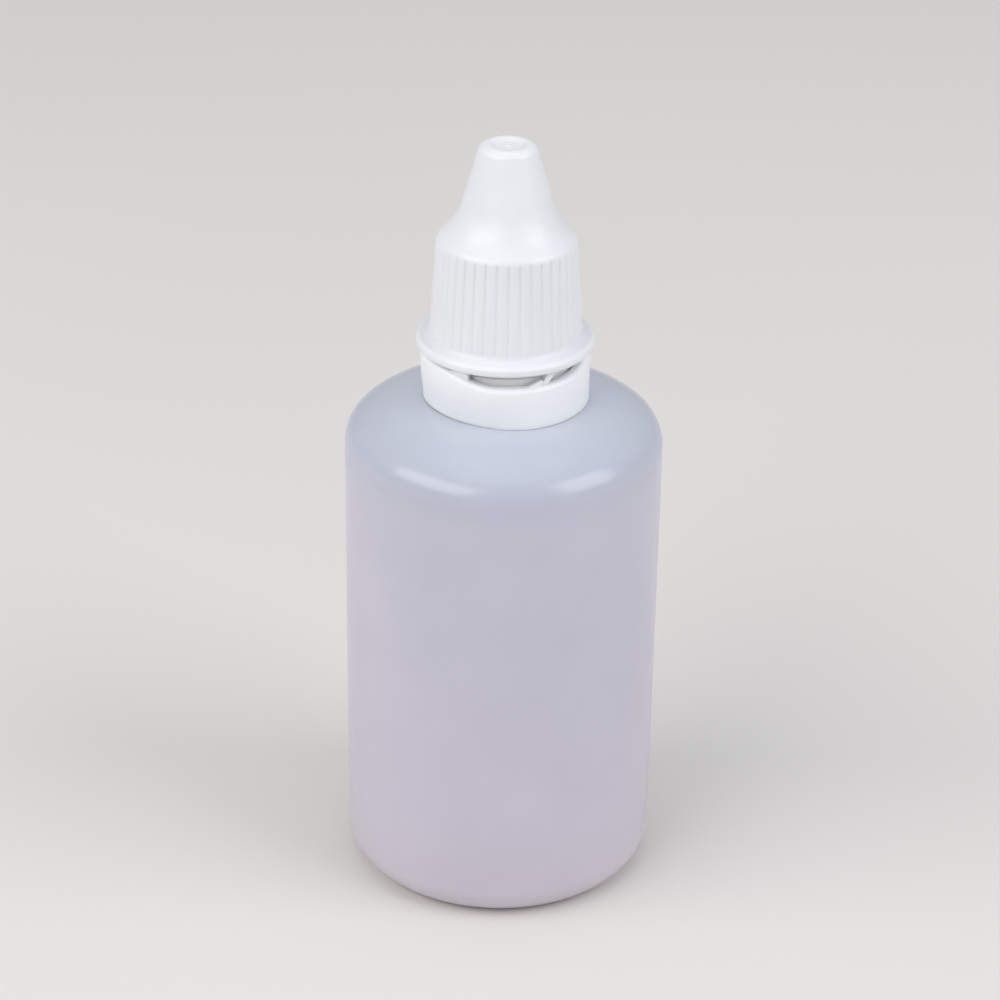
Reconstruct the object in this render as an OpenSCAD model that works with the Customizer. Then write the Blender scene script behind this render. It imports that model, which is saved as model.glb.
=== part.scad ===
// Eye drop bottle with a screw cap, its tamper band and the dropper plug inside.
// The origin is the centre of the standing ring, with +Z up along the bottle's axis.

/* [Bottle] */
// Outside diameter of the body
body_d = 37; // [32:0.5:42]
// Height of the body, up to the foot of the neck
body_h = 60.8; // [52:0.2:75]
// Wall thickness of the bottle
bottle_wall = 0.9; // [0.6:0.1:1.4]
// Drop from the foot of the neck to the corner between shoulder and wall
shoulder_drop = 3.9; // [3:0.1:6]
// Slope of the shoulder above the wall, in degrees
shoulder_slope = 37; // [30:1:45]
// Rounding between the wall and the shoulder
shoulder_round = 4; // [2:0.1:5]
// Rounding of the crown of the shoulder
crown_round = 13.5; // [6:0.5:16]
// Rounding between the wall and the base
base_round = 4; // [2:0.1:5]
// Diameter inside the standing ring, over which the base is pushed up
foot_d = 26.4; // [22:0.2:27]
// Height by which the base is pushed up
push_up = 1.1; // [0.6:0.1:2]

/* [Neck] */
// Outside diameter of the neck at the root of its thread
neck_d = 13.1; // [12.4:0.1:14]
// Bore of the neck
neck_bore = 10.6; // [9.4:0.1:11.2]
// Height of the neck above the body
neck_h = 15.4; // [14:0.1:18]
// Diameter of the neck under the tamper bead
neck_foot_d = 14.4; // [14:0.1:15]
// Diameter of the tamper bead
bead_d = 16.4; // [15.9:0.1:16.8]
// Height of the bead's underside above the body
bead_z = 2.6; // [2:0.1:3.2]
// Height of the straight land on the bead
bead_land = 1.8; // [0.5:0.1:2]
// Height of the cone above the land, over which the band snaps on
bead_ramp = 1.4; // [1:0.1:2]

/* [Thread] */
// Lead of the single right-hand thread, which is also its pitch
lead = 3; // [2.6:0.1:3.6]
// Depth of both threads
thread_depth = 0.5; // [0.3:0.05:0.6]
// Width of a thread ridge at its root
ridge_root = 1.25; // [1:0.05:1.3]
// Width of a thread ridge at its crest
ridge_crest = 0.65; // [0.4:0.05:0.8]
// Turns of thread on the neck
neck_turns = 2; // [1.5:0.1:2.2]
// Turns of thread in the cap
cap_turns = 1.5; // [1:0.1:2]
// Height of the start of the neck's thread above the cap's lower face
thread_start = 1.4; // [1:0.1:2]
// Gap between a ridge's crest and the wall that it faces
thread_gap = 0.2; // [0.1:0.05:0.3]

/* [Dropper plug] */
// Length of the plug's skirt inside the neck
plug_depth = 8; // [6:0.1:9]
// Wall thickness of the plug
plug_wall = 0.8; // [0.6:0.1:1]
// Number of sealing beads round the skirt
seal_beads = 2; // [1:1:3]
// Height by which a sealing bead stands out beyond the neck's bore
seal_press = 0.1; // [0.05:0.01:0.15]
// Gap between the plug's skirt and the neck's bore
plug_gap = 0.05; // [0.02:0.01:0.1]
// Diameter of the rim on top of the neck
rim_d = 12.8; // [12:0.1:13]
// Thickness of the rim
rim_t = 1; // [0.8:0.1:1.4]
// Height of the nozzle above the rim
nozzle_h = 11.8; // [10:0.1:12]
// Diameter of the nozzle at its foot
nozzle_foot_d = 8.6; // [7.6:0.1:8.8]
// Diameter of the nozzle at its tip
nozzle_tip_d = 3.4; // [3:0.1:3.8]
// Diameter of the orifice that forms the drops
orifice_d = 0.6; // [0.4:0.05:0.8]
// Diameter of the cup in the nozzle's tip
cup_d = 1.8; // [1.6:0.1:2.2]

/* [Cap] */
// Height of the cap from the flange's lower face to the top of the nose
cap_h = 24; // [23:0.1:26]
// Height of the cap's lower face above the body
cap_z = 6.7; // [6.5:0.1:7.5]
// Diameter of the flange
flange_d = 20.5; // [20:0.1:22]
// Thickness of the flange
flange_t = 1.15; // [1:0.05:1.6]
// Diameter of the skirt just above the flange
skirt_d = 17.5; // [17.2:0.1:18.5]
// Diameter of the skirt at its top corner
skirt_top_d = 16.04; // [15.9:0.02:17]
// Height of the skirt's top corner above the cap's lower face
skirt_h = 12.9; // [12.5:0.1:14]
// Rounding where the skirt meets the flange
skirt_fillet = 0.9; // [0.5:0.1:1.2]
// Rounding between the skirt and the cap's shoulder
skirt_round = 1.4; // [0.6:0.1:1.8]
// Slope of the cap's shoulder, in degrees
cap_slope = 41; // [35:1:45]
// Diameter at which the shoulder would meet the cone of the nose
nose_foot_d = 11.4; // [11:0.1:12]
// Rounding between the cap's shoulder and the cone
nose_flare = 8; // [4:0.5:8]
// Diameter of the nose at its tip
nose_tip_d = 6.4; // [6:0.1:7]
// Rounding of the edge at the tip
tip_round = 1.1; // [0.4:0.1:1.2]
// Diameter of the dimple on the tip
dimple_d = 4.2; // [3:0.1:4.4]
// Depth of the dimple
dimple_depth = 0.3; // [0.2:0.05:0.6]
// Wall thickness of the shoulder and the nose
nose_wall = 1.1; // [0.9:0.05:1.4]
// Thickness of the top of the nose
tip_wall = 1.4; // [1.2:0.1:1.6]
// Depth to which the sealing pin reaches into the nozzle's cup
pin_reach = 0.25; // [0.1:0.05:0.35]
// Diameter of the sealing pin at its end
pin_d = 0.9; // [0.6:0.1:1]

/* [Ribs] */
// Number of ribs round the skirt
ribs = 40; // [24:1:48]
// Width of the groove between two ribs
groove_w = 0.45; // [0.3:0.05:0.6]
// Depth of the groove
groove_depth = 0.18; // [0.12:0.01:0.3]

/* [Tamper band] */
// Outside diameter of the band
band_d = 19.5; // [19.2:0.1:20]
// Wall thickness of the band
band_wall = 1.15; // [0.9:0.05:1.2]
// Height of the band
band_h = 4.9; // [4.4:0.1:5]
// Gap between the band and the shoulder under it
band_gap = 0.1; // [0.05:0.05:0.5]
// Rounding of the band's upper outer edge
band_round = 0.6; // [0.3:0.05:0.8]
// Inside diameter of the lip that catches under the bead
lip_d = 15.5; // [15.1:0.1:15.7]
// Height of the lip
lip_h = 1.2; // [0.6:0.1:1.5]

/* [Bridges] */
// Number of bridges between the band and the cap
bridges = 6; // [4:1:8]
// Width of a bridge round the band
bridge_w = 0.85; // [0.5:0.05:1]
// Thickness of a bridge across the band's wall
bridge_t = 0.55; // [0.4:0.05:0.7]
// Shift of a bridge's top against its foot
bridge_lean = 0.85; // [0:0.05:1.5]
// Direction of the first bridge's foot, from the front towards +X, in degrees
bridge_angle = 31; // [0:1:60]
// Gap between a bridge's top and the flange
bridge_gap = 0.05; // [0.02:0.01:0.2]
// Length of the wedge tooth beside each bridge
tooth_l = 1.8; // [1:0.1:2.5]
// Height of the wedge tooth
tooth_h = 0.8; // [0.5:0.05:1.2]
// Thickness of the wedge tooth across the band's wall
tooth_t = 0.6; // [0.4:0.05:0.8]
// Gap between the tooth and the foot of its bridge
tooth_gap = 0.1; // [0.05:0.05:0.6]

/* [Hidden] */
$fn = 96;

arc_step = 5;        // most degrees that one straight piece of a rounding turns
thread_step = 10;    // degrees between two sections of a thread
thread_fade = 40;    // degrees over which a thread's end runs out
root_sink = 0.15;    // depth of a thread's root inside its wall
small = 0.2;         // rounding of small edges
edge_round = 0.5;    // rounding of the ends of walls

body_r = body_d / 2;
neck_r = neck_d / 2;
bore_r = neck_bore / 2;
neck_top = body_h + neck_h;
rim_top = neck_top + rim_t;
nozzle_tip = rim_top + nozzle_h;
cap_bottom = body_h + cap_z;
cap_top = cap_bottom + cap_h;
cap_bore_r = neck_r + thread_depth + thread_gap;
flange_top = cap_bottom + flange_t;
skirt_top = cap_bottom + skirt_h;
nose_foot_z = skirt_top + (skirt_top_d - nose_foot_d) / 2 * tan(cap_slope);
cap_ceiling = cap_top - tip_wall;
band_bottom = body_h + band_gap;
band_top = band_bottom + band_h;
band_bore_r = band_d / 2 - band_wall;
bridge_r = band_bore_r + tooth_t / 2 + 0.1;
thread_z = cap_bottom + thread_start;

// A vector of length 1 along v
function unit(v) = v / norm(v);

// The place of corner i of path p, whose corners are given as [radius, height, rounding]
function at(p, i) = [p[i][0], p[i][1]];

// The turn at corner i, in degrees, positive to the left
function bend(p, i) =
    let (u = unit(at(p, i) - at(p, i - 1)), v = unit(at(p, i + 1) - at(p, i)))
    atan2(u[0] * v[1] - u[1] * v[0], u * v);

// How far the rounding of corner i would reach along its two sides
function wanted(p, i) =
    i <= 0 || i >= len(p) - 1 ? 0 : p[i][2] * tan(abs(bend(p, i)) / 2);

// The share of their reach that the roundings at both ends of side i can have
function share(p, i) =
    let (both = wanted(p, i) + wanted(p, i + 1), side = norm(at(p, i + 1) - at(p, i)))
    both > side ? side / both : 1;

// The points that round off corner i
function corner(p, i) =
    let (reach = wanted(p, i) * min(share(p, i - 1), share(p, i)))
    reach < 0.01 ? [at(p, i)] :
    let (
        turn = bend(p, i),
        back = unit(at(p, i - 1) - at(p, i)),
        on = unit(at(p, i + 1) - at(p, i)),
        radius = reach / tan(abs(turn) / 2),
        centre = at(p, i) + unit(back + on) * radius / cos(turn / 2),
        start = at(p, i) + back * reach - centre,
        from = atan2(start[1], start[0]),
        steps = max(2, ceil(abs(turn) / arc_step))
    )
    [for (k = [0:steps]) centre + radius * [cos(from + turn * k / steps), sin(from + turn * k / steps)]];

// The points of path p with its inner corners rounded
function rounded(p) = [
    for (i = [0:len(p) - 1])
    each (i == 0 || i == len(p) - 1 ? [at(p, i)] : corner(p, i))
];

// The normal on the left of side i of path p
function left(p, i) = let (u = unit(at(p, i + 1) - at(p, i))) [-u[1], u[0]];

// Path p moved to its left by w, with each rounding made to match
function inset(p, w) = [
    for (i = [0:len(p) - 1])
    let (
        before = left(p, max(i - 1, 0)),
        after = left(p, min(i, len(p) - 2)),
        way = unit(before + after),
        turn = i == 0 || i == len(p) - 1 ? 0 : bend(p, i),
        moved = at(p, i) + way * w / cos(turn / 2)
    )
    [moved[0], moved[1], turn > 0 ? max(p[i][2] - w, small) : p[i][2] + w]
];

// A solid of revolution from the points of its section
module turned(points) {
    rotate_extrude()
        polygon(points);
}

// A helical ridge that starts at height z. wall is the radius of the wall it stands on,
// and out is 1 on the outside of a neck, or -1 on the inside of a cap.
module thread(wall, z, turns, from, out) {
    count = floor(turns * 360 / thread_step);
    sections = [
        for (i = [0:count])
        let (
            turn = i * thread_step,
            fade = min(1, min(turn, count * thread_step - turn) / thread_fade + 0.05),
            angle = from + turn,
            middle = z + lead * turn / 360,
            root = wall - out * root_sink,
            crest = wall + out * thread_depth * fade
        )
        [for (q = [[root, -ridge_root / 2], [crest, -ridge_crest / 2],
                   [crest, ridge_crest / 2], [root, ridge_root / 2]])
            [q[0] * cos(angle), q[0] * sin(angle), middle + q[1]]]
    ];
    sides = [
        for (i = [0:count - 1], k = [0:3])
        let (a = 4 * i + k, b = 4 * i + (k + 1) % 4)
        each [[a, b, b + 4], [a, b + 4, a + 4]]
    ];
    last = 4 * count;
    ends = [[3, 2, 1], [3, 1, 0], [last, last + 1, last + 2], [last, last + 2, last + 3]];
    faces = concat(sides, ends);
    polyhedron(
        points = [for (s = sections) each s],
        faces = out > 0 ? faces : [for (f = faces) [f[2], f[1], f[0]]],
        convexity = 6
    );
}

// The outside of the bottle from the middle of its base to the foot of the neck
crown_r = body_r - shoulder_drop / tan(shoulder_slope);
body_path = [
    [0, push_up, 0],
    [foot_d / 2 - 2 * push_up, push_up, 2],
    [foot_d / 2, 0, edge_round],
    [body_r, 0, base_round],
    [body_r, body_h - shoulder_drop, shoulder_round],
    [crown_r, body_h, crown_round],
    [neck_foot_d / 2, body_h, 0]
];

module bottle() {
    bead_bottom = body_h + bead_z;
    neck_path = [
        [crown_r, body_h, 0],
        [neck_foot_d / 2, body_h, 0.8],
        [neck_foot_d / 2, bead_bottom, small],
        [bead_d / 2, bead_bottom, small],
        [bead_d / 2, bead_bottom + bead_land, small],
        [neck_r, bead_bottom + bead_land + bead_ramp, edge_round],
        [neck_r, neck_top, edge_round],
        [bore_r, neck_top, edge_round / 2],
        [bore_r, body_h - bottle_wall, edge_round],
        [crown_r, body_h - bottle_wall, 0]
    ];
    body = rounded(body_path);
    neck = rounded(neck_path);
    inside = rounded(inset(body_path, bottle_wall));
    color("lavender")
    union() {
        turned(concat(
            [for (i = [0:len(body) - 2]) body[i]],
            [for (i = [1:len(neck) - 2]) neck[i]],
            [for (i = [len(inside) - 2:-1:1]) inside[i]],
            [[0, push_up + bottle_wall]]
        ));
        thread(neck_r, thread_z, neck_turns, 0, 1);
    }
}

module dropper_plug() {
    skirt_r = bore_r - plug_gap;
    bore = skirt_r - plug_wall;
    skirt_bottom = neck_top - plug_depth;
    bead_step = plug_depth / (seal_beads + 1);
    bead_r = bore_r + seal_press;
    bead_half = 0.5;
    orifice_h = 1.2;
    cup_depth = (cup_d - orifice_d) / 2;
    beads = [
        for (k = [1:seal_beads])
        let (z = skirt_bottom + k * bead_step)
        each [[skirt_r, z - bead_half, small], [bead_r, z, 0.4], [skirt_r, z + bead_half, small]]
    ];
    outside = concat(
        [[bore, skirt_bottom + edge_round, 0], [skirt_r - edge_round, skirt_bottom, small],
         [skirt_r, skirt_bottom + edge_round * 2, small]],
        beads,
        [[skirt_r, neck_top, 0], [rim_d / 2, neck_top, small], [rim_d / 2, rim_top, small],
         [nozzle_foot_d / 2, rim_top, edge_round], [nozzle_tip_d / 2, nozzle_tip, edge_round],
         [cup_d / 2, nozzle_tip, small / 2], [orifice_d / 2, nozzle_tip - cup_depth, 0]]
    );
    channel = [
        [orifice_d / 2, nozzle_tip - cup_depth - orifice_h, 0],
        [nozzle_foot_d / 2 - plug_wall * 1.2, rim_top, 1],
        [bore, neck_top - rim_t, 1],
        [bore, skirt_bottom + edge_round, 0]
    ];
    path = concat(outside, channel);
    color("gainsboro")
        turned(rounded(path));
}

// The outside of the cap above its flange, up to the edge of the nose's tip
cap_path = [
    [skirt_d / 2, flange_top, 0],
    [skirt_top_d / 2, skirt_top, skirt_round],
    [nose_foot_d / 2, nose_foot_z, nose_flare],
    [nose_tip_d / 2, cap_top, tip_round],
    [0, cap_top, 0]
];

module cap() {
    inner = inset(cap_path, nose_wall);
    taper = atan((skirt_d - skirt_top_d) / 2 / (skirt_top - flange_top));
    groove_r = (groove_w * groove_w / 4 + groove_depth * groove_depth) / (2 * groove_depth);
    groove_from = skirt_fillet * 0.6;
    groove_l = skirt_top - flange_top + skirt_round;
    pin_end = nozzle_tip - pin_reach;
    outside = concat(
        [[cap_bore_r, cap_bottom, 0], [flange_d / 2, cap_bottom, flange_t * 0.3],
         [flange_d / 2, flange_top, flange_t * 0.45], [skirt_d / 2, flange_top, skirt_fillet]],
        [for (i = [1:len(cap_path) - 2]) cap_path[i]],
        [[dimple_d / 2, cap_top, small], [dimple_d / 2 - dimple_depth, cap_top - dimple_depth, small],
         [0, cap_top - dimple_depth, 0]]
    );
    inside = [
        [0, pin_end, 0],
        [pin_d / 2, pin_end, small / 2],
        [pin_d, cap_ceiling, small],
        [inner[3][0], cap_ceiling, edge_round],
        inner[2],
        [cap_bore_r, inner[2][1] - (cap_bore_r - inner[2][0]) * tan(cap_slope), edge_round],
        [cap_bore_r, cap_bottom, 0]
    ];
    color("white")
    union() {
        difference() {
            turned(concat(rounded(outside), rounded(inside)));
            for (i = [0:ribs - 1])
                rotate(i * 360 / ribs)
                    translate([skirt_d / 2, 0, flange_top])
                        rotate([0, -taper, 0])
                            translate([groove_r - groove_depth, 0, groove_from])
                                cylinder(r = groove_r, h = groove_l, $fn = 24);
        }
        thread(cap_bore_r, thread_z + lead / 2, cap_turns, 0, -1);
    }
}

// An upright plate whose outline is drawn round the band, on which its foot stands,
// at an angle from the front towards +X. t is its thickness across the band's wall.
module on_band(angle, t) {
    rotate(angle - 90)
        translate([bridge_r - t / 2, 0, band_top])
            rotate([90, 0, 90])
                linear_extrude(t)
                    children();
}

module tamper_band() {
    lip_top = band_bottom + lip_h;
    lip_slope = (2 * band_bore_r - lip_d) / 2;
    section = [
        [lip_d / 2, band_bottom, 0],
        [band_d / 2, band_bottom, small],
        [band_d / 2, band_top, band_round],
        [band_bore_r, band_top, small / 2],
        [band_bore_r, lip_top + lip_slope / 2, small],
        [lip_d / 2, lip_top, small],
        [lip_d / 2, band_bottom, 0]
    ];
    sunk = band_h / 4;
    face = -bridge_w / 2 - tooth_gap;
    color("white")
    union() {
        turned(rounded(section));
        for (i = [0:bridges - 1])
            on_band(bridge_angle + i * 360 / bridges, tooth_t)
                polygon([
                    [face - tooth_l, -sunk],
                    [face - tooth_l, 0],
                    [face - tooth_l / 4, tooth_h],
                    [face, tooth_h],
                    [face, -sunk]
                ]);
    }
}

module break_bridges() {
    rise = cap_bottom - bridge_gap - band_top;
    color("white")
    for (i = [0:bridges - 1])
        on_band(bridge_angle + i * 360 / bridges, bridge_t)
            polygon([
                [-bridge_w / 2, 0],
                [bridge_w / 2, 0],
                [bridge_w / 2 + bridge_lean, rise],
                [-bridge_w / 2 + bridge_lean, rise]
            ]);
}

bottle();
dropper_plug();
cap();
tamper_band();
break_bridges();
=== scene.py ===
"""An eye drop bottle: milky bottle, dropper plug, ribbed white cap, and tamper band with its bridges.

Lengths of the pieces are millimetres, and MM turns them into Blender's metres.
The floor, the lights and the camera are placed in metres.
"""
import math

import bmesh
import bpy
from mathutils import Matrix, Vector


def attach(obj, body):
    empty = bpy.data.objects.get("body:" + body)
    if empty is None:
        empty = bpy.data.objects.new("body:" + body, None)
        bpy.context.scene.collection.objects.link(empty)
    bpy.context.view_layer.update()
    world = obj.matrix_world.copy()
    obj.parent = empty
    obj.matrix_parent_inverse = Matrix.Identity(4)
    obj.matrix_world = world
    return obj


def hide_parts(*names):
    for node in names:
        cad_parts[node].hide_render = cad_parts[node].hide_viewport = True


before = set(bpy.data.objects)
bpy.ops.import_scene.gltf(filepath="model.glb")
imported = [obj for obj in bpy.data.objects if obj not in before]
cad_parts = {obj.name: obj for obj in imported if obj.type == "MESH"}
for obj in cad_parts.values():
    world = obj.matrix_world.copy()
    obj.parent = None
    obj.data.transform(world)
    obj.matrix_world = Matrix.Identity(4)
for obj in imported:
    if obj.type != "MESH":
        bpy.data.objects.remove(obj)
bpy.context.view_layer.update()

MM = 0.001

# The rounding of a small edge, and a length that counts as nothing
SMALL = 0.2
TINY = 0.01

# Heights and radii that several pieces share
BODY_R = 18.5
BODY_H = 60.8
WALL = 0.9
NECK_R = 6.55
BORE_R = 5.3
NECK_TOP = BODY_H + 15.4
RIM_TOP = NECK_TOP + 1.0
NOZZLE_TIP = RIM_TOP + 11.8
CAP_BOTTOM = BODY_H + 6.7
CAP_TOP = CAP_BOTTOM + 24.0
CAP_BORE_R = 7.25

# The thread on the neck and in the cap
LEAD = 3.0
THREAD_DEPTH = 0.5
THREAD_Z = CAP_BOTTOM + 1.4
RIDGE_ROOT = 1.25
RIDGE_CREST = 0.65

# The tamper band, its foot a little inside the shoulder
BAND_BOTTOM = BODY_H - 0.02
BAND_H = 5.02
BAND_TOP = BAND_BOTTOM + BAND_H
BAND_R = 9.75
BAND_BORE_R = 8.6
LIP_R = 7.75
FLANGE_GAP = 0.05

# The bridges from the band to the cap's flange, at their angle from the front towards +X
BRIDGES = 6
BRIDGE_R = 9.0
BRIDGE_ANGLE = 28.5
BRIDGE_LEAN = 1.25
BRIDGE_W = 0.85
BRIDGE_T = 0.55

# The tooth beside each bridge: where along the band it starts and ends, and how its sides rise
TOOTH_R = 9.25
TOOTH_H = 0.62
TOOTH_START = -1.37 - BRIDGE_W / 2
TOOTH_END = -0.04
TOOTH_SLOPE = 1.35
TOOTH_SIDE = 0.02

# How far the thin band is lifted and pressed in, in millimetres
LEFT_FOOT_LIFT = 0.16
RIGHT_FOOT_LIFT = 0.05
BACK_FOOT_LIFT = 0.1
BACK_TOP_LIFT = 0.5
FOOT_PRESS = 0.75

# Each bend of the band's top edge: side (-1 left, 1 right), start and end in degrees, and lift
TOP_BENDS = [
    (-1, 5, 50, 1.1),
    (-1, 62, 80, 0.2),
    (1, 25, 100, 0.9),
    (1, 60, 76, 0.4),
]

# The bottle's tones from 0 to 255, each with its share of the height of the neck's top. They hold painted
# light: a warm painted reflection of the floor at the foot, a darker painted shade just under the shoulder's
# rounding, a bluish painted skylight on the shoulder, and a near-white painted glow on the neck's bead,
# standing in for light through the plastic.
BOTTLE_TONES_AND_PAINTED_LIGHT = [
    (0.0, (203, 195, 204)),
    (0.16, (201, 197, 210)),
    (0.68, (199, 197, 211)),
    (0.75, (188, 192, 206)),
    (0.782, (192, 197, 210)),
    (0.80, (199, 204, 215)),
    (0.825, (253, 253, 253)),
    (0.875, (253, 253, 253)),
    (0.9, (222, 225, 232)),
]
# Near-white painted light for the ring of the shoulder under the band
PAINTED_LIGHT_BOTTLE = (253, 253, 253)
# Near-white painted light for the inner walls of band and flange
PAINTED_LIGHT_CAP = (251, 251, 252)
WHITE = (1, 1, 1, 1)


# Small helpers

def clamped(value):
    return min(1.0, max(0.0, value))


def eased(value, start, end):
    """0 before start and 1 after end, with a soft change between them."""
    t = clamped((value - start) / (end - start))
    return t * t * (3 - 2 * t)


def azimuth_of(place):
    """The direction of a place from the front towards +X, in degrees."""
    return math.degrees(math.atan2(place.x, -place.y))


def new_object(name, data):
    thing = bpy.data.objects.new(name, data)
    bpy.context.scene.collection.objects.link(thing)
    return thing


# Sections of turned pieces, as paths of [radius, height, rounding]

def side(path, i):
    """The unit vector from corner i to the next one."""
    return (Vector(path[i + 1][:2]) - Vector(path[i][:2])).normalized()


def bend(path, i):
    """The turn at corner i in radians, positive to the left."""
    u = side(path, i - 1)
    v = side(path, i)
    return math.atan2(u.x * v.y - u.y * v.x, u.dot(v))


def reach_wanted(path, i):
    """How far the rounding of corner i would reach along its two sides."""
    if i <= 0 or i >= len(path) - 1:
        return 0.0
    return path[i][2] * math.tan(abs(bend(path, i)) / 2)


def share(path, i):
    """The share of their reach that the roundings at both ends of side i can have."""
    both = reach_wanted(path, i) + reach_wanted(path, i + 1)
    length = (Vector(path[i + 1][:2]) - Vector(path[i][:2])).length
    return length / both if both > length else 1.0


def corner(path, i, arc_step):
    """The points that round off corner i."""
    here = Vector(path[i][:2])
    if i == 0 or i == len(path) - 1:
        return [here]
    reach = reach_wanted(path, i) * min(share(path, i - 1), share(path, i))
    if reach < TINY:
        return [here]
    turn = bend(path, i)
    back = -side(path, i - 1)
    on = side(path, i)
    radius = reach / math.tan(abs(turn) / 2)
    centre = here + (back + on).normalized() * radius / math.cos(turn / 2)
    start = here + back * reach - centre
    first = math.atan2(start.y, start.x)
    steps = max(3, math.ceil(math.degrees(abs(turn)) / arc_step))
    points = []
    for k in range(steps + 1):
        angle = first + turn * k / steps
        points.append(centre + radius * Vector((math.cos(angle), math.sin(angle))))
    return points


def rounded(path, arc_step=6.0):
    """The points of a path with its corners rounded, an arc's points arc_step degrees apart at most."""
    points = []
    for i in range(len(path)):
        points.extend(corner(path, i, arc_step))
    return points


def inset(path, wall):
    """A path moved to its left by the wall's thickness, with each rounding made to match."""
    moved = []
    last = len(path) - 1
    for i, (radius, height, rounding) in enumerate(path):
        before = side(path, max(i - 1, 0))
        after = side(path, min(i, last - 1))
        way = Vector((-before.y - after.y, before.x + after.x)).normalized()
        turn = 0.0 if i in (0, last) else bend(path, i)
        place = Vector((radius, height)) + way * wall / math.cos(turn / 2)
        inner = max(rounding - wall, SMALL) if turn > 0 else rounding + wall
        moved.append([place.x, place.y, inner])
    return moved


def filled(points, low, high, step):
    """The points with more put in between heights low and high, for a thread or the grooves' ends."""
    result = [points[0]]
    for point in points[1:]:
        start = result[-1]
        middle = (start.y + point.y) / 2
        count = 1
        if low < middle < high or min(start.y, point.y) < low < high < max(start.y, point.y):
            count = max(1, math.ceil((point - start).length / step))
        for k in range(1, count + 1):
            result.append(start.lerp(point, k / count))
    return result


# Node trees

def put(tree, value, socket):
    """Link a socket to the value where the value is another socket, and otherwise set it."""
    if isinstance(value, bpy.types.NodeSocket):
        tree.links.new(value, socket)
    else:
        socket.default_value = value


def feed(tree, node, **inputs):
    """Link or set a node's inputs by their names, with _ for a space."""
    for name, value in inputs.items():
        put(tree, value, node.inputs[name.replace("_", " ")])


def add(tree, kind, settings=None, **inputs):
    """A new node with its settings and inputs."""
    node = tree.nodes.new(kind)
    for setting, value in (settings or {}).items():
        setattr(node, setting, value)
    feed(tree, node, **inputs)
    return node


def worked_out(tree, operation, *values):
    """The result of a maths node."""
    node = add(tree, "ShaderNodeMath", {"operation": operation})
    for value, socket in zip(values, node.inputs):
        put(tree, value, socket)
    return node.outputs[0]


def new_tree(name, sizes):
    """A node tree with the geometry and the named sizes as its inputs, and these inputs."""
    tree = bpy.data.node_groups.new(name, "GeometryNodeTree")
    tree.interface.new_socket(name="Geometry", in_out="OUTPUT", socket_type="NodeSocketGeometry")
    tree.interface.new_socket(name="Geometry", in_out="INPUT", socket_type="NodeSocketGeometry")
    for size, kind in sizes:
        tree.interface.new_socket(name=size, in_out="INPUT", socket_type="NodeSocket" + kind)
    return tree, tree.nodes.new("NodeGroupInput").outputs


def close_tree(tree, geometry, material):
    """End the tree with smooth faces, one mesh and the material."""
    smooth = add(tree, "GeometryNodeSetShadeSmooth", Geometry=geometry)
    whole = add(tree, "GeometryNodeRealizeInstances", Geometry=smooth.outputs[0])
    coated = add(tree, "GeometryNodeSetMaterial", Geometry=whole.outputs[0], Material=material)
    add(tree, "NodeGroupOutput", Geometry=coated.outputs[0])


# The inputs of the tree that turns a section, lengths in metres
TURNED_SIZES = [
    ("Rays", "Int"), ("Ribs", "Int"), ("First angle", "Float"), ("Gather", "Float"),
    ("Groove width", "Float"), ("Groove depth", "Float"),
    ("Thread foot", "Float"), ("Thread depth", "Float"), ("Lead", "Float"), ("Turns", "Float"),
    ("Ridge root", "Float"), ("Ridge crest", "Float"), ("Fade turns", "Float"),
    ("Material", "Material"),
]


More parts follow.
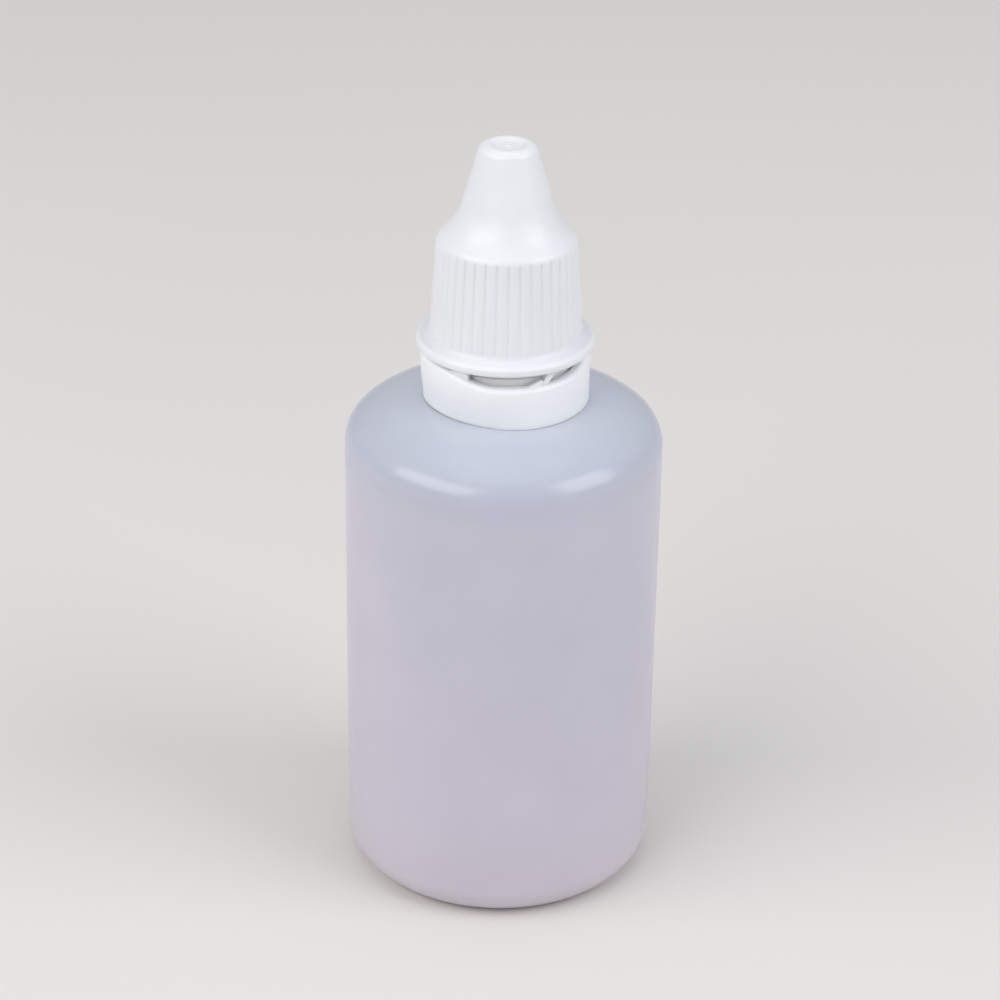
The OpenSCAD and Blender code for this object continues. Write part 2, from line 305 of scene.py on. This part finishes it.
def turned_tree():
    """Turns a section into a closed wall, with grooves and a thread where the section asks for them.

    The section's points carry two attributes: groove, the depth left for a groove at that height,
    and thread, 1 where the thread stands outwards and -1 where it stands inwards.
    """
    tree, given = new_tree("turned_wall", TURNED_SIZES)

    def maths(operation, *values):
        return worked_out(tree, operation, *values)

    section = given["Geometry"]
    rays = given["Rays"]
    size = add(tree, "GeometryNodeAttributeDomainSize", {"component": "MESH"}, Geometry=section)
    columns = maths("ADD", rays, 1)
    grid = add(tree, "GeometryNodeMeshGrid", Size_X=1.0, Size_Y=1.0,
               Vertices_X=size.outputs["Point Count"], Vertices_Y=columns)
    index = maths("ADD", add(tree, "GeometryNodeInputIndex").outputs[0], 0.5)
    row = maths("FLOOR", maths("DIVIDE", index, columns))
    ray = maths("FLOOR", maths("FLOORED_MODULO", index, columns))

    def sampled(kind, value):
        """A value of the section's point for this row."""
        node = add(tree, "GeometryNodeSampleIndex", {"data_type": kind}, Geometry=section, Index=row,
                   Value=value)
        return node.outputs["Value"]

    place = sampled("FLOAT_VECTOR", add(tree, "GeometryNodeInputPosition").outputs[0])
    apart = add(tree, "ShaderNodeSeparateXYZ", Vector=place)
    radius = apart.outputs["X"]
    height = apart.outputs["Z"]
    marks = {}
    for name in ("groove", "thread"):
        mark = add(tree, "GeometryNodeInputNamedAttribute", {"data_type": "FLOAT"}, Name=name)
        marks[name] = sampled("FLOAT", mark.outputs["Attribute"])

    # The rays gather round each groove: way runs from 0 to 1 from one groove's middle to the next,
    # and the small number added keeps a whole step from falling just short of its rib
    pitch = maths("DIVIDE", rays, given["Ribs"])
    step = maths("DIVIDE", ray, pitch)
    rib = maths("FLOOR", maths("ADD", step, 0.0001))
    plain_way = maths("SUBTRACT", step, rib)
    wave = maths("SINE", maths("MULTIPLY", plain_way, math.tau))
    way = maths("SUBTRACT", plain_way, maths("MULTIPLY", maths("DIVIDE", wave, math.tau), given["Gather"]))
    turn = maths("DIVIDE", maths("ADD", rib, way), given["Ribs"])
    angle = maths("ADD", maths("MULTIPLY", turn, math.tau), given["First angle"])

    # A groove is a rounded trough of the groove width, as deep as its height allows
    aside = maths("MINIMUM", maths("ABSOLUTE", way), maths("ABSOLUTE", maths("SUBTRACT", 1.0, way)))
    arc = maths("MULTIPLY", maths("DIVIDE", maths("MULTIPLY", aside, math.tau), given["Ribs"]), radius)
    half_width = maths("MULTIPLY", given["Groove width"], 0.5)
    across = maths("MINIMUM", maths("DIVIDE", arc, half_width), 1.0)
    hollow = maths("SUBTRACT", 1.0, maths("MULTIPLY", across, across))
    trough = maths("MULTIPLY", maths("POWER", hollow, 1.5), given["Groove depth"])
    left_over = maths("SUBTRACT", given["Groove depth"], marks["groove"])
    cut = maths("MAXIMUM", maths("SUBTRACT", trough, left_over), 0.0)

    # A thread's ridge is at whole turns of the helix, and runs out at both ends
    risen = maths("DIVIDE", maths("SUBTRACT", height, given["Thread foot"]), given["Lead"])
    climb = maths("SUBTRACT", risen, turn)
    whole_turns = maths("ROUND", climb)
    off = maths("MULTIPLY", maths("ABSOLUTE", maths("SUBTRACT", climb, whole_turns)), given["Lead"])
    along = maths("ADD", whole_turns, turn)
    to_end = maths("MINIMUM", along, maths("SUBTRACT", given["Turns"], along))
    fade = add(tree, "ShaderNodeMapRange", {"interpolation_type": "SMOOTHERSTEP"}, Value=to_end,
               From_Min=0.0, From_Max=given["Fade turns"])
    flank = add(tree, "ShaderNodeMapRange", {"interpolation_type": "SMOOTHSTEP"}, Value=off,
                From_Min=maths("MULTIPLY", given["Ridge crest"], 0.5),
                From_Max=maths("MULTIPLY", given["Ridge root"], 0.5), To_Min=1.0, To_Max=0.0)
    ridge = maths("MULTIPLY", maths("MULTIPLY", flank.outputs[0], fade.outputs[0]), given["Thread depth"])

    out = maths("ADD", maths("SUBTRACT", radius, cut), maths("MULTIPLY", ridge, marks["thread"]))
    spot = add(tree, "ShaderNodeCombineXYZ", X=maths("MULTIPLY", out, maths("COSINE", angle)),
               Y=maths("MULTIPLY", out, maths("SINE", angle)), Z=height)
    wall = add(tree, "GeometryNodeSetPosition", Geometry=grid.outputs["Mesh"], Position=spot.outputs[0])

    # The first and last ray meet, and so do the points on the axis
    closed = add(tree, "GeometryNodeMergeByDistance", Geometry=wall.outputs[0], Distance=2e-7)
    close_tree(tree, closed.outputs[0], given["Material"])
    return tree


def ring_tree():
    """Sets copies of one shape round the bottle's axis."""
    tree, given = new_tree("ring_of_copies", [("Count", "Int"), ("Material", "Material")])
    spots = add(tree, "GeometryNodePoints", Count=given["Count"])
    step = worked_out(tree, "DIVIDE", math.tau, given["Count"])
    angle = worked_out(tree, "MULTIPLY", add(tree, "GeometryNodeInputIndex").outputs[0], step)
    turn = add(tree, "ShaderNodeCombineXYZ", Z=angle)
    copies = add(tree, "GeometryNodeInstanceOnPoints", Points=spots.outputs[0],
                 Instance=given["Geometry"], Rotation=turn.outputs[0])
    close_tree(tree, copies.outputs[0], given["Material"])
    return tree


def run_tree(piece, tree, sizes):
    """Run a tree on the piece with these sizes, and keep its result as the piece's plain mesh."""
    modifier = piece.modifiers.new("made", "NODES")
    modifier.node_group = tree
    for item in tree.interface.items_tree:
        if item.in_out == "INPUT" and item.name in sizes:
            modifier[item.identifier] = sizes[item.name]
    depsgraph = bpy.context.evaluated_depsgraph_get()
    mesh = bpy.data.meshes.new_from_object(piece.evaluated_get(depsgraph), depsgraph=depsgraph)
    piece.modifiers.remove(modifier)
    before = piece.data
    piece.data = mesh
    bpy.data.meshes.remove(before)
    mesh.name = piece.name
    return piece


# Meshes of the pieces

def face_outwards(piece):
    """Turn the faces of a closed piece so that they point out of it."""
    work = bmesh.new()
    work.from_mesh(piece.data)
    if work.calc_volume(signed=True) < 0:
        bmesh.ops.reverse_faces(work, faces=work.faces)
    work.to_mesh(piece.data)
    work.free()


def turned(name, points, material, groove=None, thread=None, **sizes):
    """A piece turned from its section's points, whose groove and thread are functions of a point."""
    mesh = bpy.data.meshes.new(name)
    places = [(p.x * MM, 0.0, p.y * MM) for p in points]
    edges = [(i, i + 1) for i in range(len(points) - 1)]
    mesh.from_pydata(places, edges, [])
    rules = {"groove": groove, "thread": thread}
    for mark, rule in rules.items():
        layer = mesh.attributes.new(mark, "FLOAT", "POINT")
        layer.data.foreach_set("value", [rule(p) if rule else 0.0 for p in points])
    values = {
        "Rays": 192, "Ribs": 1, "First angle": 0.0, "Gather": 0.0,
        "Groove width": MM, "Groove depth": 0.0,
        "Thread foot": 0.0, "Thread depth": 0.0, "Lead": LEAD * MM, "Turns": 0.0,
        "Ridge root": RIDGE_ROOT * MM, "Ridge crest": RIDGE_CREST * MM, "Fade turns": 0.11,
        "Material": material,
    }
    for size, value in sizes.items():
        values[size.replace("_", " ")] = value
    piece = run_tree(new_object(name, mesh), TURNED, values)
    face_outwards(piece)
    attributes = piece.data.attributes
    for mark in rules:
        if mark in attributes:
            attributes.remove(attributes[mark])
    return piece


def plate(name, outline, inner_r, thickness, angle, edge):
    """A plate whose outline of (along, height) is drawn round the band from an angle to the front."""
    work = bmesh.new()
    near = [work.verts.new((inner_r, x, z)) for x, z in outline]
    far = [work.verts.new((inner_r + thickness, x, z)) for x, z in outline]
    work.faces.new(near)
    work.faces.new(reversed(far))
    for i in range(len(outline)):
        j = (i + 1) % len(outline)
        work.faces.new((near[j], near[i], far[i], far[j]))
    bmesh.ops.recalc_face_normals(work, faces=work.faces)
    bmesh.ops.bevel(work, geom=work.edges[:], offset=edge, segments=2, profile=0.5, affect="EDGES")
    turn = Matrix.Rotation(math.radians(angle - 90), 4, "Z")
    work.transform(Matrix.Scale(MM, 4) @ turn @ Matrix.Translation((0, 0, BAND_TOP)))
    mesh = bpy.data.meshes.new(name)
    work.to_mesh(mesh)
    work.free()
    return new_object(name, mesh)


# Parts of materials

def new_material(name):
    material = bpy.data.materials.new(name)
    material.use_nodes = True
    tree = material.node_tree
    return material, tree, tree.nodes["Principled BSDF"]


def object_space(tree):
    return add(tree, "ShaderNodeTexCoord").outputs["Object"]


def noise(tree, where, scale, detail=2.0):
    return add(tree, "ShaderNodeTexNoise", Vector=where, Scale=scale, Detail=detail).outputs[0]


def linear(red, green, blue):
    """A colour as the render shows it, 0 to 255, as Blender's linear colour with its alpha."""
    result = []
    for value in (red, green, blue):
        v = value / 255
        result.append(v / 12.92 if v <= 0.04045 else ((v + 0.055) / 1.055) ** 2.4)
    return (*result, 1.0)


def ramp(tree, value, *stops):
    """A colour ramp from (place, colour) stops."""
    node = add(tree, "ShaderNodeValToRGB", Fac=value)
    elements = node.color_ramp.elements
    while len(elements) < len(stops):
        elements.new(0.5)
    for element, (place, colour) in zip(elements, stops):
        element.position = place
        element.color = colour
    return node.outputs["Color"]


def blended(tree, mode, factor, a, b):
    """Two colours mixed. The node's sockets share their names, so they go by number."""
    node = add(tree, "ShaderNodeMix", {"data_type": "RGBA", "blend_type": mode})
    for value, number in ((factor, 0), (a, 6), (b, 7)):
        put(tree, value, node.inputs[number])
    return node.outputs[2]


def clouded(tree, tone, pattern, darkest):
    """The tone, darkened towards a colour where the pattern is low."""
    return blended(tree, "MULTIPLY", 1.0, tone, ramp(tree, pattern, (0.3, darkest), (0.7, WHITE)))


def ranged(tree, value, low, high):
    """A value from 0 to 1 moved into the range from low to high."""
    return add(tree, "ShaderNodeMapRange", Value=value, To_Min=low, To_Max=high).outputs[0]


def relief(tree, where, *layers):
    """Bumps one on the other, each from the scale of its noise and its depth in metres."""
    normal = None
    for scale, depth in layers:
        node = add(tree, "ShaderNodeBump", Strength=1.0, Distance=depth, Height=noise(tree, where, scale))
        if normal:
            tree.links.new(normal, node.inputs["Normal"])
        normal = node.outputs[0]
    return normal


def from_axis(tree, where):
    """The distance from the bottle's axis, and the height."""
    apart = add(tree, "ShaderNodeSeparateXYZ", Vector=where)
    flat = add(tree, "ShaderNodeCombineXYZ", X=apart.outputs["X"], Y=apart.outputs["Y"])
    length = add(tree, "ShaderNodeVectorMath", {"operation": "LENGTH"}, Vector=flat.outputs[0])
    return length.outputs["Value"], apart.outputs["Z"]


# The bottle's plastic

def painted_light_under_band(tree, radius, height, tone):
    """The tone of the bottle, paler on the ring of the shoulder that the band covers: painted light there
    stands in for light through the plastic and hides the shade under the band.
    """
    crown = worked_out(tree, "COMPARE", height, (BODY_H + 0.2) * MM, 1.5 * MM)
    covered = add(tree, "ShaderNodeMapRange", Value=radius, From_Min=9.0 * MM, From_Max=8.7 * MM)
    painted_under_band = worked_out(tree, "MULTIPLY", crown, covered.outputs[0])
    return blended(tree, "MIX", painted_under_band, tone, linear(*PAINTED_LIGHT_BOTTLE))


def milky_plastic():
    """The soft translucent plastic of the bottle, cloudy with its uneven wall, its tones by height holding
    painted light, with a bluish painted skylight at the shoulder.
    """
    material, tree, shader = new_material("milky_bottle_plastic")
    where = object_space(tree)
    radius, height = from_axis(tree, where)
    share_up = add(tree, "ShaderNodeMapRange", Value=height, From_Max=NECK_TOP * MM).outputs[0]
    # The tones by height, with their painted light and shade
    tone = ramp(tree, share_up, *((place, linear(*colour)) for place, colour in BOTTLE_TONES_AND_PAINTED_LIGHT))
    cloud = noise(tree, where, 95.0, detail=3.0)
    pale = clouded(tree, tone, cloud, (0.955, 0.955, 0.965, 1.0))
    feed(tree, shader, Base_Color=painted_light_under_band(tree, radius, height, pale),
         Roughness=ranged(tree, cloud, 0.16, 0.23),
         Normal=relief(tree, where, (110.0, 0.00006), (3800.0, 0.000006)), IOR=1.5,
         Subsurface_Weight=0.5, Subsurface_Radius=(1.0, 0.97, 1.0), Subsurface_Scale=0.0012)
    return material


# The white plastic of cap, band and plug

def painted_light_inside(tree, where, tone):
    """The tone of band and flange, paler on the inner walls by painted light, standing in for the light that
    reaches them through the plastic.
    """
    radius, height = from_axis(tree, where)
    bore = worked_out(tree, "LESS_THAN", radius, (BAND_BORE_R + 0.05) * MM)
    low = worked_out(tree, "LESS_THAN", height, (CAP_BOTTOM + 0.6) * MM)
    under_flange = worked_out(tree, "COMPARE", height, CAP_BOTTOM * MM, 0.03 * MM)
    near_bore = worked_out(tree, "LESS_THAN", radius, (BAND_BORE_R + 0.3) * MM)
    foot = worked_out(tree, "LESS_THAN", height, (BODY_H + 1.5) * MM)
    walls = worked_out(tree, "MULTIPLY", bore, low)
    painted_under_band = worked_out(tree, "MULTIPLY", near_bore, foot)
    inside = worked_out(tree, "MAXIMUM", worked_out(tree, "MAXIMUM", walls, painted_under_band), under_flange)
    return blended(tree, "MIX", inside, tone, linear(*PAINTED_LIGHT_CAP))


def white_plastic(name, colour, roughness, with_painted_light=True):
    """A satin white moulding with a fine grain and a very faint flow of the melt, and, where asked, painted
    light on its inner walls.
    """
    material, tree, shader = new_material(name)
    where = object_space(tree)
    flow = noise(tree, where, 140.0, detail=3.0)
    tone = clouded(tree, linear(*colour), flow, (0.965, 0.965, 0.97, 1.0))
    # Painted light on the inner walls, standing in for light through the plastic
    if with_painted_light:
        tone = painted_light_inside(tree, where, tone)
    feed(tree, shader, Base_Color=tone, Roughness=ranged(tree, flow, roughness - 0.05, roughness + 0.06),
         Normal=relief(tree, where, (260.0, 0.00002), (5200.0, 0.000005)), IOR=1.49,
         Subsurface_Weight=0.4, Subsurface_Radius=(1.0, 0.98, 0.96), Subsurface_Scale=0.0007)
    return material


MILKY = milky_plastic()
CAP_WHITE = white_plastic("white_cap_plastic", (230, 232, 236), 0.34)
BAND_WHITE = white_plastic("thin_white_band_plastic", (240, 243, 247), 0.34)
PLUG_WHITE = white_plastic("white_plug_plastic", (228, 230, 232), 0.4, with_painted_light=False)

TURNED = turned_tree()
RING = ring_tree()


# The bottle

def make_bottle():
    base_rise = 1.1
    ring_r = 13.2
    body_rounding = 4
    shoulder_h = 3.9
    crown_r = BODY_R - shoulder_h / math.tan(math.radians(37))
    neck_foot_r = 7.2
    bead_r = 8.2
    bead = BODY_H + 2.6
    bead_top = bead + 3.0
    row_step = 0.13
    body = [
        [0, base_rise, 0],
        [ring_r - 2.2, base_rise, 2],
        [ring_r, 0, 0.5],
        [BODY_R, 0, body_rounding],
        [BODY_R, BODY_H - shoulder_h, body_rounding],
        [crown_r, BODY_H, 13.5],
        [neck_foot_r, BODY_H, 0],
    ]
    neck = [
        [crown_r, BODY_H, 0],
        [neck_foot_r, BODY_H, 0.8],
        [neck_foot_r, bead, SMALL],
        [bead_r, bead, SMALL],
        [bead_r, bead_top, SMALL],
        [NECK_R, bead_top + 0.7, 0.5],
        [NECK_R, NECK_TOP, 0.5],
        [BORE_R, NECK_TOP, 0.25],
        [BORE_R, BODY_H - WALL, 0.5],
        [crown_r, BODY_H - WALL, 0],
    ]
    outside = rounded(body, 3)
    inside = rounded(inset(body, WALL), 4)
    neck_points = filled(rounded(neck), THREAD_Z - 0.8, NECK_TOP - 0.6, row_step)
    inner_pole = Vector((0, base_rise + WALL))
    points = outside[:-1] + neck_points[1:-1] + inside[-2:0:-1] + [inner_pole]

    def thread(point):
        return 1.0 if point.x > NECK_R - TINY and THREAD_Z - 1 < point.y < NECK_TOP - 0.5 else 0.0

    return turned("bottle_body_and_neck", points, MILKY, thread=thread, Turns=2.0,
                  Thread_foot=THREAD_Z * MM, Thread_depth=THREAD_DEPTH * MM)


# The dropper plug

def make_plug():
    skirt_r = BORE_R - 0.05
    skirt_h = 8
    bore = skirt_r - 0.8
    foot = NECK_TOP - skirt_h
    bead_r = BORE_R + 0.1
    rim_r = 6.4
    cone_r = 4.3
    cone_wall = 0.96
    tip_r = 1.7
    funnel_r = 0.9
    funnel_foot = NOZZLE_TIP - 0.6
    orifice_r = 0.3
    orifice_foot = NOZZLE_TIP - 1.8
    path = [[bore, foot + 0.5, 0], [skirt_r - 0.5, foot, SMALL], [skirt_r, foot + 1, SMALL]]
    for k in (1, 2):
        z = foot + k * skirt_h / 3
        path += [[skirt_r, z - 0.5, SMALL], [bead_r, z, 0.4], [skirt_r, z + 0.5, SMALL]]
    path += [
        [skirt_r, NECK_TOP, 0],
        [rim_r, NECK_TOP, SMALL],
        [rim_r, RIM_TOP, SMALL],
        [cone_r, RIM_TOP, 0.5],
        [tip_r, NOZZLE_TIP, 0.5],
        [funnel_r, NOZZLE_TIP, 0.1],
        [orifice_r, funnel_foot, 0],
        [orifice_r, orifice_foot, 0],
        [cone_r - cone_wall, RIM_TOP, 1],
        [bore, NECK_TOP - 1, 1],
        [bore, foot + 0.5, 0],
    ]
    return turned("dropper_insert", rounded(path), PLUG_WHITE, Rays=128)


# The cap

def make_cap():
    wall = 1.1
    flange_r = 10.25
    flange_top = CAP_BOTTOM + 1.15
    skirt_top = CAP_BOTTOM + 12.9
    skirt_r = 8.75
    skirt_top_r = 8.02
    nose_r = 5.7
    tip_r = 3.2
    slope = math.tan(math.radians(41))
    dimple_r = 2.15
    dimple_floor = CAP_TOP - 0.3
    gate_mark = CAP_TOP - 0.2
    outer = [
        [skirt_r, flange_top, 0],
        [skirt_top_r, skirt_top, 1.4],
        [nose_r, skirt_top + (skirt_top_r - nose_r) * slope, 8],
        [tip_r, CAP_TOP, 1.1],
        [0, CAP_TOP, 0],
    ]
    outside = [
        [CAP_BORE_R, CAP_BOTTOM, 0],
        [flange_r, CAP_BOTTOM, 0.345],
        [flange_r, flange_top, 0.52],
        [skirt_r, flange_top, 0.9],
        *outer[1:4],
        [dimple_r, CAP_TOP, 0.7],
        [dimple_r - 0.75, dimple_floor, 0.7],
        [0.4, dimple_floor, 0.15],
        [0.2, gate_mark, 0.15],
        [0, gate_mark, 0],
    ]

    # The inside: sealing pin, ceiling, cone, and the bore with the stretch that the thread needs
    inner = inset(outer, wall)
    pin_end = NOZZLE_TIP - 0.25
    pin_r = 0.45
    ceiling = CAP_TOP - 1.4
    turns = 1.5
    thread_foot = THREAD_Z + LEAD / 2
    thread_top = thread_foot + turns * LEAD
    inside = [
        [0, pin_end, 0],
        [pin_r, pin_end, 0.1],
        [pin_r * 2, ceiling, SMALL],
        [inner[3][0], ceiling, 0.5],
        inner[2],
        [CAP_BORE_R, inner[2][1] - (CAP_BORE_R - inner[2][0]) * slope, 0.5],
        [CAP_BORE_R, thread_top + 0.9, 0],
        [CAP_BORE_R, thread_foot - 0.9, 0],
        [CAP_BORE_R, CAP_BOTTOM, 0],
    ]
    row_step = 0.16
    outer_points = filled(rounded(outside), flange_top + 0.2, flange_top + 1.8, row_step)
    inner_points = filled(rounded(inside), thread_foot - 0.8, thread_top + 0.8, row_step)
    ribs = 40
    rays_per_rib = 12
    first_groove = math.radians(1.8)
    groove_depth = 0.18
    lean = (skirt_r - skirt_top_r) / (skirt_top - flange_top)

    def groove(point):
        """The depth of a groove's middle at a point, which is 0 away from the skirt's outside."""
        line = skirt_r - lean * (point.y - flange_top)
        foot = clamped((point.y - flange_top - 0.5) / 0.7)
        head = 1 - eased(point.y, skirt_top - 1.1, skirt_top + 0.3)
        return MM * max(0.0, groove_depth * foot * head - max(0.0, line - point.x))

    def thread(point):
        return -1.0 if abs(point.x - CAP_BORE_R) < TINY and point.y > CAP_BOTTOM + 1 else 0.0

    return turned("ribbed_cap", outer_points + inner_points, CAP_WHITE, groove=groove, thread=thread,
                  Rays=ribs * rays_per_rib, Ribs=ribs, First_angle=first_groove, Gather=0.6,
                  Groove_width=0.6 * MM, Groove_depth=groove_depth * MM,
                  Turns=turns, Thread_foot=thread_foot * MM, Thread_depth=THREAD_DEPTH * MM)


# The bends that band and bridges share

def foot_lift(azimuth, behind):
    """How far the band's foot is lifted at an azimuth, where behind rises to 1 at the back."""
    off_left = min(1.0, abs(azimuth + 85) / 95)
    front = LEFT_FOOT_LIFT * math.cos(off_left * math.pi / 2) ** 2 + RIGHT_FOOT_LIFT * eased(azimuth, 5, 80)
    return front + (BACK_FOOT_LIFT - front) * behind


def top_lift(azimuth, behind):
    """How far the band's top edge is bent up."""
    front = sum(lift * eased(sign * azimuth, start, end) for sign, start, end, lift in TOP_BENDS)
    return front + (BACK_TOP_LIFT - front) * behind


def pressed_in(azimuth, share_up, behind):
    """How far the band's outer wall is pressed in, most at its front left foot."""
    left = eased(-azimuth, -22, 30) * (1 - 0.5 * eased(-azimuth, 45, 85))
    return FOOT_PRESS * left * (1 - behind) * (1 - eased(share_up, -0.1, 0.75))


def flexed(piece):
    """The thin band is bent up at its sides and pressed in at its front left foot, under the flange."""
    for vertex in piece.data.vertices:
        azimuth = azimuth_of(vertex.co)
        behind = eased(abs(azimuth), 100, 180)
        share_up = clamped((vertex.co.z / MM - BAND_BOTTOM) / BAND_H)
        low = foot_lift(azimuth, behind)
        lift = low + (top_lift(azimuth, behind) - low) * share_up
        highest = max(vertex.co.z, (CAP_BOTTOM - FLANGE_GAP) * MM)
        vertex.co.z = min(vertex.co.z + lift * MM, highest)
        radius = vertex.co.xy.length / MM
        if radius > TOOTH_R + 0.15:
            vertex.co.xy *= 1 - pressed_in(azimuth, share_up, behind) / radius
    return piece


# The tamper band

def make_band():
    lip_top = BAND_BOTTOM + 1.2
    rows_to_bend = (0.4, 0.8, 1.2, 1.6, 2.0, 2.5, 3.0, 3.6)
    tooth_foot = BAND_TOP - 0.015
    section = [
        [LIP_R, BAND_BOTTOM, 0],
        [BAND_R, BAND_BOTTOM, 0.06],
        *([BAND_R, BAND_BOTTOM + up, 0] for up in rows_to_bend),
        [BAND_R, BAND_TOP, 0.6],
        [BAND_BORE_R, BAND_TOP, 0.1],
        [BAND_BORE_R, lip_top + 0.425, SMALL],
        [LIP_R, lip_top, SMALL],
        [LIP_R, BAND_BOTTOM, 0],
    ]
    points = []
    for point in rounded(section):
        if point.x < TOOTH_R and points and points[-1].x > TOOTH_R:
            points.extend(Vector((TOOTH_R - off, tooth_foot)) for off in (0.0, TOOTH_SIDE))
        points.append(point)
    return flexed(raise_teeth(turned("tamper_ring", points, BAND_WHITE, Rays=480)))


def tooth_height(along):
    """How high a tooth stands at a length along the band from the middle of its strip's foot."""
    return TOOTH_H * clamped((along - TOOTH_START) / TOOTH_SLOPE) if along < TOOTH_END else 0.0


def raise_teeth(ring):
    """Each strip has a tooth beside it, which rises out of the inner part of the band's top edge."""
    turn = 360 / BRIDGES
    slack = 0.002
    for vertex in ring.data.vertices:
        radius = vertex.co.xy.length / MM
        inward = clamped((TOOTH_R + slack - radius) / (TOOTH_SIDE + slack))
        if vertex.co.z > (BAND_TOP - 0.11) * MM and inward > 0:
            off = (azimuth_of(vertex.co) - BRIDGE_ANGLE + turn / 2) % turn - turn / 2
            vertex.co.z += tooth_height(math.radians(off) * BRIDGE_R) * inward * MM
    return ring


# The bridges

def crush_left_strip(strips, rise):
    """The strip at the front left is pressed upright and wide against its tooth."""
    lean = math.degrees(BRIDGE_LEAN / BRIDGE_R)
    foot = BRIDGE_ANGLE - 360 / BRIDGES
    half_strip = 4.5
    right_push = 2.1
    left_push = -3.0
    for vertex in strips.data.vertices:
        up = (vertex.co.z / MM - BAND_TOP) / rise
        off = azimuth_of(vertex.co) - foot - lean * up
        if abs(off) < half_strip:
            back = (right_push if off > 0 else left_push) - lean * up
            vertex.co.rotate(Matrix.Rotation(math.radians(back), 3, "Z"))


def make_bridges():
    rise = CAP_BOTTOM - FLANGE_GAP - BAND_TOP
    half = BRIDGE_W / 2
    sunk = -0.15
    outline = [(-half, sunk), (half, sunk), (half + BRIDGE_LEAN, rise), (-half + BRIDGE_LEAN, rise)]
    bridge = plate("break_bridge_strips", outline, inner_r=BRIDGE_R - BRIDGE_T / 2, thickness=BRIDGE_T,
                   angle=BRIDGE_ANGLE, edge=0.07)
    strips = run_tree(bridge, RING, {"Count": BRIDGES, "Material": BAND_WHITE})
    crush_left_strip(strips, rise)
    return flexed(strips)


PIECES = [
    (make_bottle(), "bottle", "bottle_body", "bottle_plastic"),
    (make_plug(), "dropper_plug", "bottle_body", "plug_plastic"),
    (make_cap(), "cap", "cap_body", "cap_plastic"),
    (make_band(), "tamper_band", "band_ring", "cap_plastic"),
    (make_bridges(), "break_bridges", "band_ring", "cap_plastic"),
]
for piece, node, body, finish in PIECES:
    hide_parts(node)
    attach(piece, body)


# Floor, lights and camera, in metres

def make_floor():
    material, tree, shader = new_material("pale_floor")
    spots = noise(tree, object_space(tree), 3.0)
    tone = ramp(tree, spots, (0.3, linear(222, 219, 216)), (0.7, linear(226, 223, 220)))
    feed(tree, shader, Base_Color=tone, Roughness=0.8)
    mesh = bpy.data.meshes.new("floor")
    half = 3.0
    corners = [(-half, -half, 0), (half, -half, 0), (half, half, 0), (-half, half, 0)]
    mesh.from_pydata(corners, [], [(0, 1, 2, 3)])
    floor = new_object("floor", mesh)
    mesh.materials.append(material)


def soft_light(name, azimuth, elevation, distance, size, power, colour):
    """An area light at an azimuth from the front towards +X, aimed at the middle of the bottle."""
    lamp = bpy.data.lights.new(name, "AREA")
    lamp.shape = "RECTANGLE"
    lamp.size, lamp.size_y = size
    lamp.energy = power
    lamp.color = colour
    light = new_object(name, lamp)
    a = math.radians(azimuth)
    e = math.radians(elevation)
    way = Vector((math.sin(a) * math.cos(e), -math.cos(a) * math.cos(e), math.sin(e)))
    middle = Vector((0, 0, 0.05))
    light.location = middle + way * distance
    light.rotation_euler = way.to_track_quat("Z", "Y").to_euler()


def make_camera():
    """The photograph's camera, fitted to the outline: in front and above, leaning a little."""
    photo_pixels = 1000
    focal_pixels = 2959.8
    back = 0.3095
    up = 0.20653
    down = math.radians(27.26)
    roll = 0.01538
    data = bpy.data.cameras.new("camera")
    data.sensor_width = 36
    data.lens = focal_pixels * data.sensor_width / photo_pixels
    data.shift_x = -0.0029
    data.clip_start = 0.01
    camera = new_object("camera", data)
    right = Vector((1, 0, 0))
    top = Vector((0, math.sin(down), math.cos(down)))
    ahead = Vector((0, math.cos(down), -math.sin(down)))
    leaning = right * math.cos(roll) + top * math.sin(roll)
    upright = top * math.cos(roll) - right * math.sin(roll)
    turn = Matrix((leaning, upright, -ahead)).transposed().to_4x4()
    camera.matrix_world = Matrix.Translation((0, -back, up)) @ turn
    bpy.context.scene.camera = camera


def make_world():
    world = bpy.data.worlds.new("studio")
    world.use_nodes = True
    tree = world.node_tree
    feed(tree, tree.nodes["Background"], Color=(0.93, 0.94, 0.97, 1.0), Strength=0.5)
    bpy.context.scene.world = world


make_floor()
soft_light("left_window", -56, 37, 0.9, (0.96, 0.46), 4.4, (1.0, 0.985, 0.965))
soft_light("right_window", 67, 35, 0.9, (0.62, 0.56), 3.3, (0.98, 0.985, 1.0))
soft_light("sky_panel", 0, 88, 1.1, (0.9, 0.9), 1.8, (0.93, 0.965, 1.0))
make_camera()
make_world()
bpy.context.scene.view_settings.view_transform = "Standard"
